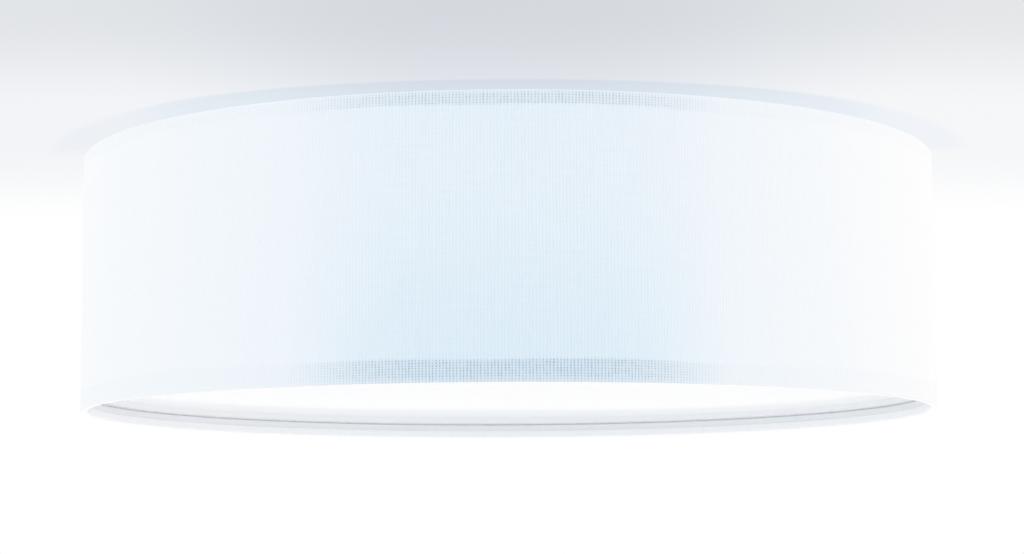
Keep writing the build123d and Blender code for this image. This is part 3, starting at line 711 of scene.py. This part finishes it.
zinc = Finish("zinc_plate", (0.72, 0.72, 0.7, 1), 0.34, Metallic=1.0)
bloom = zinc.grain(240.0, 4.0)
tint = zinc.grain(45.0, 2.0)
plate = zinc.blend(tint.step(0.35, 0.65), (0.74, 0.74, 0.73, 1), (0.68, 0.69, 0.72, 1))
zinc.colour(zinc.blend(bloom.step(0.5, 0.8) * 0.5, plate, (0.58, 0.58, 0.57, 1)))
zinc.roughness(bloom.step(0.25, 0.75, 0.26, 0.46))
zinc.relief(bloom, 0.15, 0.00003)
dress(zinc, "nut_washer_1", "nut_washer_2", "nut_washer_3")


def thread_wave(tree, pitch):
    """1 on the crest and -1 in the root of a right-hand thread round Z."""
    angle, radius, height = polar(tree)
    return (angle - height / pitch * (2 * math.pi)).cosine()


# Screws: a turned head below, a threaded shank above it, and a slot sawn across the head
screw_tree, size = shape_tree(
    "slotted_screws",
    Head_Radius=0.003,
    Head_Height=0.001,
    Shank_Radius=0.002,
    Length=0.01,
    Pitch=0.0007,
    Thread_Depth=0.0003,
    Slot=(0.01, 0.0008, 0.001),
    Material=zinc.material,
)
inputs = {"Vertices": 32, "Side Segments": thread_rows, "Radius": 1.0, "Depth": size["Length"]}
blank = screw_tree.node("GeometryNodeMeshCylinder", inputs, fill_type="TRIANGLE_FAN").outputs[0]
lift = screw_tree.vector(0.0, 0.0, size["Length"] / 2)
blank = screw_tree.node("GeometryNodeTransform", {"Geometry": blank, "Translation": lift}).outputs[0]
x, y, z = screw_tree.parts(screw_tree.node("GeometryNodeInputPosition").outputs[0])
in_head = z.below(size["Head Height"])
head_fall = (1 - z / size["Head Height"]) * in_head
crown = size["Head Radius"] * (1 - head_fall * head_fall * head_fall * head_crown)
near_end = ((size["Length"] - z) / size["Pitch"]).step(0.0, end_taper_pitches)
groove = (1 - thread_wave(screw_tree, size["Pitch"])) * size["Thread Depth"] * 0.5
shank = size["Shank Radius"] - groove - (1 - near_end) * size["Thread Depth"]
profile = crown * in_head + shank * (1 - in_head)
turned = screw_tree.vector(x * profile, y * profile, z)
screw = screw_tree.node("GeometryNodeSetPosition", {"Geometry": blank, "Position": turned}).outputs[0]
slot_cut = screw_tree.node("GeometryNodeMeshCube", {"Size": size["Slot"]}).outputs[0]
screw = screw_tree.node("GeometryNodeMeshBoolean", {0: screw, 1: slot_cut}, operation="DIFFERENCE").outputs[0]
spin = screw_tree.field("FunctionNodeRandomValue", {2: 0.0, 3: math.pi, "Seed": 5}, output=1)
inputs = {"Points": size["Geometry"], "Instance": screw, "Rotation": screw_tree.vector(0.0, 0.0, spin)}
screws = screw_tree.node("GeometryNodeInstanceOnPoints", inputs).outputs[0]
end_shape(screw_tree, screws, size["Material"])

centre_punch = (0.0006, 0.0006, 0.0001)
heads_up = Matrix.Rotation(math.pi, 4, "X")
stud_places = [round_z(stud_circle, -angle, 0.0) for angle in stud_angles]
studs = grown(
    "threaded_studs",
    screw_tree,
    points_mesh(stud_places),
    heads_up,
    Head_Radius=stud_head[0],
    Head_Height=stud_head[1],
    Shank_Radius=stud_radius,
    Length=stud_length,
    Pitch=metric_pitch,
    Thread_Depth=metric_depth,
    Slot=centre_punch,
    Material=zinc.material,
)
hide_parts("shade_studs")
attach(studs, "root")

nut_height = nut_high.z - nut_low.z
nut_grip_radius = (nut_high.x - nut_low.x) / 2
nut_collar_radius = 0.0046
nut_collar_height = 0.0035
nut_bore_radius = 0.0021
nut_chamfer = 0.0005
nut_mouth = 0.0004
knurl_teeth = 44
knurl_depth = 0.0003

grip_edge = nut_grip_radius - nut_chamfer
outline = [(nut_bore_radius + nut_mouth, 0.0), (nut_collar_radius, 0.0)]
outline += [(nut_collar_radius, nut_collar_height), (grip_edge, nut_collar_height)]
outline += [(nut_grip_radius, nut_collar_height + nut_chamfer)]
outline += [(nut_grip_radius, nut_height - nut_chamfer), (grip_edge, nut_height)]
outline += [(nut_bore_radius + nut_mouth, nut_height), (nut_bore_radius, nut_height - nut_mouth)]
outline += [(nut_bore_radius, nut_mouth)]
tree, size = shape_tree(
    "knurled_nut",
    Teeth=knurl_teeth,
    Depth=knurl_depth,
    Radius=nut_grip_radius,
    Material=zinc.material,
)
nut = swept_round(tree, size["Geometry"], size["Teeth"] * 4)
angle, radius, height = polar(tree)
on_grip = radius.above(size["Radius"] - nut_chamfer / 4)
groove = ((angle * size["Teeth"]).cosine() - 1) * 0.5 * size["Depth"]
end_shape(tree, moved_out(tree, nut, groove * on_grip), size["Material"])
for number, angle in enumerate(stud_angles, 1):
    place = Matrix.Translation(round_z(stud_circle, angle, washer_low)) @ heads_up
    nut = grown(f"knurled_nut_{number}", tree, outline_mesh(outline), place)
    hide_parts(f"thumb_nut_{number}")
    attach(nut, f"nut_{number}")


# ---------------------------------------------------------------- bracket
# A U of 1.5 mm strip steel, bent and punched, then zinc plated. Two flat-headed rivets hold it under the
# pan, and each leg carries a lamp holder on an M10 threaded tube with a lock nut.

strip = Finish("rolled_strip", (0.7, 0.7, 0.68, 1), 0.36, Metallic=1.0)
x, y, z = strip.parts(strip.object_place())
rolled = strip.noise(strip.vector(x * 90.0, y * 2600.0, z * 90.0), 1.0, 4.0)
bloom = strip.grain(130.0, 3.0)
plate = strip.blend(bloom.step(0.35, 0.7), (0.735, 0.735, 0.72, 1), (0.63, 0.64, 0.66, 1))
strip.colour(plate)
strip.roughness((rolled * 0.6 + bloom * 0.4).step(0.3, 0.7, 0.28, 0.48))
strip.relief(rolled, 0.25, 0.00003)
dress(strip, "holder_bracket")
dress(zinc, "bracket_rivets", "holder_nuts")

nipple_low, nipple_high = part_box("holder_nipples")
strap_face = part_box("holder_bracket")[1].x
lamp_axis_z = (nipple_low.z + nipple_high.z) / 2
nipple_radius = nipple_high.y
nipple_bore = 0.0035
nipple_inside = 0.006
nipple_start = strap_face - nipple_inside
nipple_end = nipple_high.x
nipple_pitch = 0.001
nipple_depth = 0.0006
nipple_rows = 120
nipple_segments = 40
lamp_places = {
    "a": Matrix.Translation((0, 0, lamp_axis_z)) @ Matrix.Rotation(math.pi / 2, 4, "Y"),
    "b": Matrix.Translation((0, 0, lamp_axis_z)) @ Matrix.Rotation(-math.pi / 2, 4, "Y"),
}

# A tube whose outline is given, with a thread rolled into it between two heights
thread_tree, size = shape_tree(
    "threaded_tube",
    Segments=64,
    Pitch=0.001,
    Depth=0.0003,
    Start=0.0,
    End=1.0,
    Beyond=0.0,
    Material=zinc.material,
)
tube = swept_round(thread_tree, size["Geometry"], size["Segments"])
angle, radius, height = polar(thread_tree)
run_in = (height - size["Start"]) / size["Pitch"]
run_out = (size["End"] - height) / size["Pitch"]
threaded = run_in.step(0.0, 0.5) * run_out.step(0.0, 0.5) * radius.above(size["Beyond"])
wave = (thread_wave(thread_tree, size["Pitch"]) - 1) * 0.5 * size["Depth"] * threaded
end_shape(thread_tree, moved_out(thread_tree, tube, wave, True), size["Material"])

rows = rows_between(nipple_start, nipple_end, nipple_rows)
outline = [(nipple_bore, nipple_start), (nipple_radius - nipple_depth, nipple_start)]
outline += [(nipple_radius, row) for row in rows] + [(nipple_radius - nipple_depth, nipple_end)]
outline += [(nipple_bore, nipple_end)]
for letter, place in lamp_places.items():
    nipple = grown(
        f"threaded_nipple_{letter}",
        thread_tree,
        outline_mesh(outline),
        place,
        Segments=nipple_segments,
        Pitch=nipple_pitch,
        Depth=nipple_depth,
        Start=nipple_start,
        End=nipple_end,
        Beyond=nipple_bore * 1.1,
        Material=zinc.material,
    )
    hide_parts("holder_nipples")
    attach(nipple, "root")


# ---------------------------------------------------------------- cable grommet
# A black rubber ring pushed into the hole for the supply cable, its groove round the hole's edge. It is
# moulded, matt, and a little dusty with talc.

rubber = Finish("black_rubber", (0.03, 0.03, 0.03, 1), 0.75)
talc = rubber.grain(700.0, 3.0)
skin = rubber.blend(talc.step(0.55, 0.8), (0.022, 0.022, 0.024, 1), (0.075, 0.073, 0.07, 1))
rubber.colour(skin)
rubber.roughness(talc.step(0.3, 0.7, 0.62, 0.85))
rubber.relief(talc, 0.4, 0.00006)
dress(rubber, "cable_grommet")


# ---------------------------------------------------------------- terminal block
# A three-pole strip moulded in natural nylon. A brass tube in each pole takes the wires, and two slotted
# screws from below clamp them. A slotted screw through each ear holds the block to the pan.

pole_places = (-0.018, -0.008, 0.002)
block_y = 0.036
tower_spacing = 0.0085
ear_places = (-0.02625, 0.01025)
clamp_slot = (0.01, 0.0006, 0.0014)
ear_slot = (0.01, 0.0007, 0.0016)
fine_pitch = 0.0005
fine_depth = 0.00025

nylon = Finish("natural_nylon", (0.84, 0.84, 0.79, 1), 0.45, Subsurface_Weight=0.25, Subsurface_Scale=0.0015)
cloudy = nylon.grain(320.0, 3.0)
eroded = nylon.grain(5200.0, 2.0)
body = nylon.blend(cloudy, (0.86, 0.86, 0.815, 1), (0.81, 0.81, 0.75, 1))
nylon.colour(body)
nylon.roughness(eroded.step(0.3, 0.7, 0.38, 0.55))
nylon.relief(eroded, 0.3, 0.00003)
dress(nylon, "terminal_block")

brass = Finish("brass", (0.78, 0.6, 0.3, 1), 0.28, Metallic=1.0)
turned = brass.grain(900.0, 3.0)
tarnish = brass.grain(150.0, 4.0)
metal = brass.blend(tarnish.step(0.5, 0.75), (0.80, 0.62, 0.32, 1), (0.55, 0.40, 0.22, 1))
brass.colour(metal)
brass.roughness((turned * 0.5 + tarnish * 0.5).step(0.3, 0.7, 0.2, 0.42))
brass.relief(turned, 0.15, 0.00002)
dress(brass, "terminal_sleeves", "centre_contact_a", "centre_contact_b")

clamp_low, clamp_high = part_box("terminal_screws")
clamp_places = [(x, block_y + side * tower_spacing / 2, clamp_low.z) for x in pole_places for side in (-1, 1)]
clamp_screws = grown(
    "clamp_screws",
    screw_tree,
    points_mesh(clamp_places),
    Head_Radius=0.0015,
    Head_Height=0.0008,
    Shank_Radius=0.0015,
    Length=clamp_high.z - clamp_low.z,
    Pitch=fine_pitch,
    Thread_Depth=fine_depth,
    Slot=clamp_slot,
    Material=zinc.material,
)
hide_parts("terminal_screws")
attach(clamp_screws, "root")

ear_low, ear_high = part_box("block_screws")
ear_screws = grown(
    "ear_screws",
    screw_tree,
    points_mesh([(x, block_y, ear_low.z) for x in ear_places]),
    Head_Radius=0.0027,
    Head_Height=0.0022,
    Shank_Radius=0.0015,
    Length=ear_high.z - ear_low.z,
    Pitch=fine_pitch,
    Thread_Depth=fine_depth,
    Slot=ear_slot,
    Material=zinc.material,
)
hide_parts("block_screws")
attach(ear_screws, "root")


# ---------------------------------------------------------------- earth point
# A stamped brass ring tag under a slotted M4 screw in the pan. Its barrel is crimped on the earth wire.

earth_low, earth_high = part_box("earth_screw")
earth_x = (earth_low.x + earth_high.x) / 2
earth_y = (earth_low.y + earth_high.y) / 2
earth_slot = (0.02, 0.0011, 0.0026)
earth_screw = grown(
    "slotted_earth_screw",
    screw_tree,
    points_mesh([(earth_x, earth_y, earth_low.z)]),
    Head_Radius=(earth_high.x - earth_low.x) / 2,
    Head_Height=0.0026,
    Shank_Radius=0.002,
    Length=earth_high.z - earth_low.z,
    Pitch=metric_pitch,
    Thread_Depth=metric_depth,
    Slot=earth_slot,
    Material=zinc.material,
)
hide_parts("earth_screw")
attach(earth_screw, "root")
dress(brass, "earth_tag")


# ---------------------------------------------------------------- wires
# Stranded copper wire in plastic insulation, 2.2 mm across, bent by hand: brown and blue to each holder,
# and green with a yellow stripe to the earth tag. Both ends of each are clamped.


def insulation(name, colour, stripe=None):
    """Extruded plastic insulation: satin, a little uneven, and with a stripe where it has one."""
    sleeve = Finish(name, colour, 0.4)
    skin = sleeve.grain(420.0, 3.0)
    darker = (*[channel * 0.8 for channel in colour[:3]], 1)
    body = sleeve.blend(skin, colour, darker)
    if stripe:
        up = sleeve.parts(sleeve.node("ShaderNodeTexCoord").outputs["Normal"])[2]
        body = sleeve.blend(up.step(-0.52, -0.48, 1.0, 0.0), body, stripe)
    sleeve.colour(body)
    sleeve.roughness(skin.step(0.3, 0.7, 0.32, 0.48))
    sleeve.relief(skin, 0.2, 0.00005)
    return sleeve


dress(insulation("brown_insulation", (0.16, 0.06, 0.025, 1)), "live_wires")
dress(insulation("blue_insulation", (0.035, 0.14, 0.5, 1)), "neutral_wires")
dress(insulation("green_yellow_insulation", (0.05, 0.3, 0.06, 1), (0.78, 0.66, 0.03, 1)), "earth_wire")


# ---------------------------------------------------------------- lamp holders
# Two lamp holders back to back. Each has a rear dome and a screwed-on front sleeve, moulded in white
# plastic with grip ribs, round a glazed porcelain insert, a threaded brass sleeve and a spring contact.

dome_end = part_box("holder_cap_a")[1].x
shell_low, shell_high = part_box("holder_shell_a")
holder_radius = shell_high.y
grip_ribs = 30
dome_rib_centre = dome_end - 0.0045
shell_rib_centre = shell_low.x + 0.0125
rib_depth = 0.001
rib_width = 0.001
rib_sink = 0.4
dome_rib_length = 0.003
shell_rib_length = 0.009

moulding = Finish(
    "white_moulding",
    (0.84, 0.84, 0.82, 1),
    0.38,
    Subsurface_Weight=0.08,
    Subsurface_Scale=0.001,
)
flow = moulding.grain(60.0, 3.0)
spark = moulding.grain(3800.0, 2.0)
moulding.colour(moulding.blend(flow, (0.86, 0.86, 0.845, 1), (0.82, 0.82, 0.795, 1)))
moulding.roughness(spark.step(0.3, 0.7, 0.32, 0.5))
moulding.relief(spark, 0.3, 0.00004)
dress(moulding, "holder_cap_a", "holder_cap_b", "holder_shell_a", "holder_shell_b")

glaze = Finish("glazed_porcelain", (0.86, 0.85, 0.8, 1), 0.12, Coat_Weight=0.5, Coat_Roughness=0.08)
fired = glaze.grain(90.0, 3.0)
specks = glaze.grain(1500.0, 1.0).step(0.72, 0.76)
body = glaze.blend(fired, (0.875, 0.865, 0.825, 1), (0.835, 0.82, 0.765, 1))
glaze.colour(glaze.blend(specks * 0.5, body, (0.42, 0.36, 0.28, 1)))
glaze.roughness(fired.step(0.3, 0.7, 0.08, 0.2))
glaze.relief(fired, 0.2, 0.0002)
dress(glaze, "holder_core_a", "holder_core_b")

lamp_pitch = 0.003629
lamp_thread_depth = 0.001
sleeve_low, sleeve_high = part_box("screw_sleeve_a")
sleeve_start = sleeve_low.x
sleeve_end = sleeve_high.x
sleeve_radius = sleeve_high.y
sleeve_wall = 0.0004
sleeve_outer = sleeve_radius - 0.0001
sleeve_row_count = 84
sleeve_plain_start = 0.001
sleeve_plain_end = 0.0005
round_segments = 72
sleeve_rows = [sleeve_start] + rows_between(sleeve_start, sleeve_end, sleeve_row_count) + [sleeve_end]


def thin_wall(line, wall):
    """The closed outline of a pressed wall from its outer line, which runs upward."""
    return line + [(r - wall, z) for r, z in reversed(line)]


outline = thin_wall([(sleeve_outer, row) for row in sleeve_rows], sleeve_wall)
rib_angles = [2 * math.pi * rib / grip_ribs for rib in range(grip_ribs)]
rib_groups = (("dome", dome_rib_centre, dome_rib_length), ("shell", shell_rib_centre, shell_rib_length))
for letter, place in lamp_places.items():
    for group, centre, half_length in rib_groups:
        places = [round_z(holder_radius - rib_depth * rib_sink, angle, centre) for angle in rib_angles]
        half_size = (rib_depth, rib_width, half_length)
        ribs = grown(
            f"holder_{group}_ribs_{letter}",
            lump_tree,
            points_mesh(places),
            place,
            Size=half_size,
            Material=moulding.material,
        )
        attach(ribs, "root")
    sleeve = grown(
        f"rolled_screw_sleeve_{letter}",
        thread_tree,
        outline_mesh(outline),
        place,
        Segments=round_segments,
        Pitch=lamp_pitch,
        Depth=lamp_thread_depth,
        Start=sleeve_start + sleeve_plain_start,
        End=sleeve_end - sleeve_plain_end,
        Beyond=0.0,
        Material=brass.material,
    )
    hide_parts(f"screw_sleeve_{letter}")
    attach(sleeve, "root")


# ---------------------------------------------------------------- lamps
# Two screw-in lamps with opal domes. Each has a solder-tipped contact in black glass, a rolled metal
# screw cap, a flared white plastic body and a round board of light sources under its dome.

cap_low, cap_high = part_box("bulb_cap_a")
cap_start = cap_low.x
cap_end = cap_high.x
cap_radius = cap_high.y
cap_wall = 0.0005
cap_nose = 0.0016
cap_lip_radius = 0.0104
cap_shoulder = 0.0122
cap_plain_rim = 0.0035
cap_row_count = 68
source_pitch = 0.0095
source_width_share = 0.3
source_height_share = 0.34

nickel = Finish("lamp_nickel", (0.78, 0.77, 0.74, 1), 0.22, Metallic=1.0)
scuffs = nickel.grain(500.0, 4.0)
wear = nickel.grain(60.0, 3.0)
metal = nickel.blend(wear.step(0.45, 0.7), (0.80, 0.79, 0.76, 1), (0.66, 0.64, 0.60, 1))
nickel.colour(metal)
nickel.roughness((scuffs * 0.6 + wear * 0.4).step(0.3, 0.7, 0.16, 0.36))
nickel.relief(scuffs, 0.12, 0.00003)
dress(nickel, "bulb_button_a", "bulb_button_b")

black_glass = Finish("black_glass", (0.012, 0.012, 0.015, 1), 0.06, IOR=1.52)
swirl = black_glass.grain(260.0, 3.0)
glass = black_glass.blend(swirl, (0.01, 0.01, 0.013, 1), (0.03, 0.028, 0.032, 1))
black_glass.colour(glass)
black_glass.roughness(swirl.step(0.3, 0.7, 0.04, 0.14))
black_glass.relief(swirl, 0.3, 0.0001)
dress(black_glass, "bulb_insulator_a", "bulb_insulator_b")

lamp_body = Finish("lamp_plastic", (0.87, 0.87, 0.87, 1), 0.33)
flow = lamp_body.grain(45.0, 3.0)
fine = lamp_body.grain(2600.0, 2.0)
lamp_body.colour(lamp_body.blend(flow, (0.88, 0.88, 0.88, 1), (0.85, 0.85, 0.845, 1)))
lamp_body.roughness(fine.step(0.3, 0.7, 0.28, 0.42))
lamp_body.relief(fine, 0.25, 0.00003)
dress(lamp_body, "bulb_collar_a", "bulb_collar_b")

board = Finish("lamp_board", (0.82, 0.83, 0.81, 1), 0.4)
x, y, z = board.parts(board.object_place())
across = abs((y / source_pitch).fraction() - 0.5)
down = abs(((z - lamp_axis_z) / source_pitch).fraction() - 0.5)
sources = across.below(source_width_share / 2) * down.below(source_height_share / 2)
resin = board.grain(800.0)
body = board.blend(resin, (0.84, 0.85, 0.83, 1), (0.80, 0.81, 0.79, 1))
board.colour(board.blend(sources, body, (0.85, 0.62, 0.12, 1)))
board.roughness(resin.step(0.3, 0.7, 0.32, 0.5))
dress(board, "bulb_board_a", "bulb_board_b")

opal_dome = Finish("lamp_opal", (0.92, 0.92, 0.9, 1), 0.26)
haze = opal_dome.grain(30.0, 2.0)
opal_dome.colour(opal_dome.blend(haze, (0.93, 0.93, 0.915, 1), (0.905, 0.905, 0.885, 1)))
opal_dome.roughness(opal_dome.grain(70.0, 3.0).step(0.3, 0.7, 0.24, 0.3))
dress(opal_dome, "bulb_globe_a", "bulb_globe_b")

cap_line = [(cap_lip_radius, cap_start), (cap_shoulder, cap_start), (cap_radius, cap_start + cap_nose)]
cap_line += [(cap_radius, row) for row in rows_between(cap_start + cap_nose, cap_end, cap_row_count)]
cap_line += [(cap_radius, cap_end)]
cap_inside = [(r - cap_wall, z) for r, z in reversed(cap_line[2:])]
cap_inside += [(cap_shoulder - cap_wall, cap_start + cap_wall), (cap_lip_radius, cap_start + cap_wall)]
for letter, place in lamp_places.items():
    cap = grown(
        f"rolled_lamp_cap_{letter}",
        thread_tree,
        outline_mesh(cap_line + cap_inside),
        place,
        Segments=round_segments,
        Pitch=lamp_pitch,
        Depth=lamp_thread_depth,
        Start=cap_start + cap_nose,
        End=cap_end - cap_plain_rim,
        Beyond=cap_shoulder,
        Material=nickel.material,
    )
    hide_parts(f"bulb_cap_{letter}")
    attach(cap, f"lamp_{letter}")
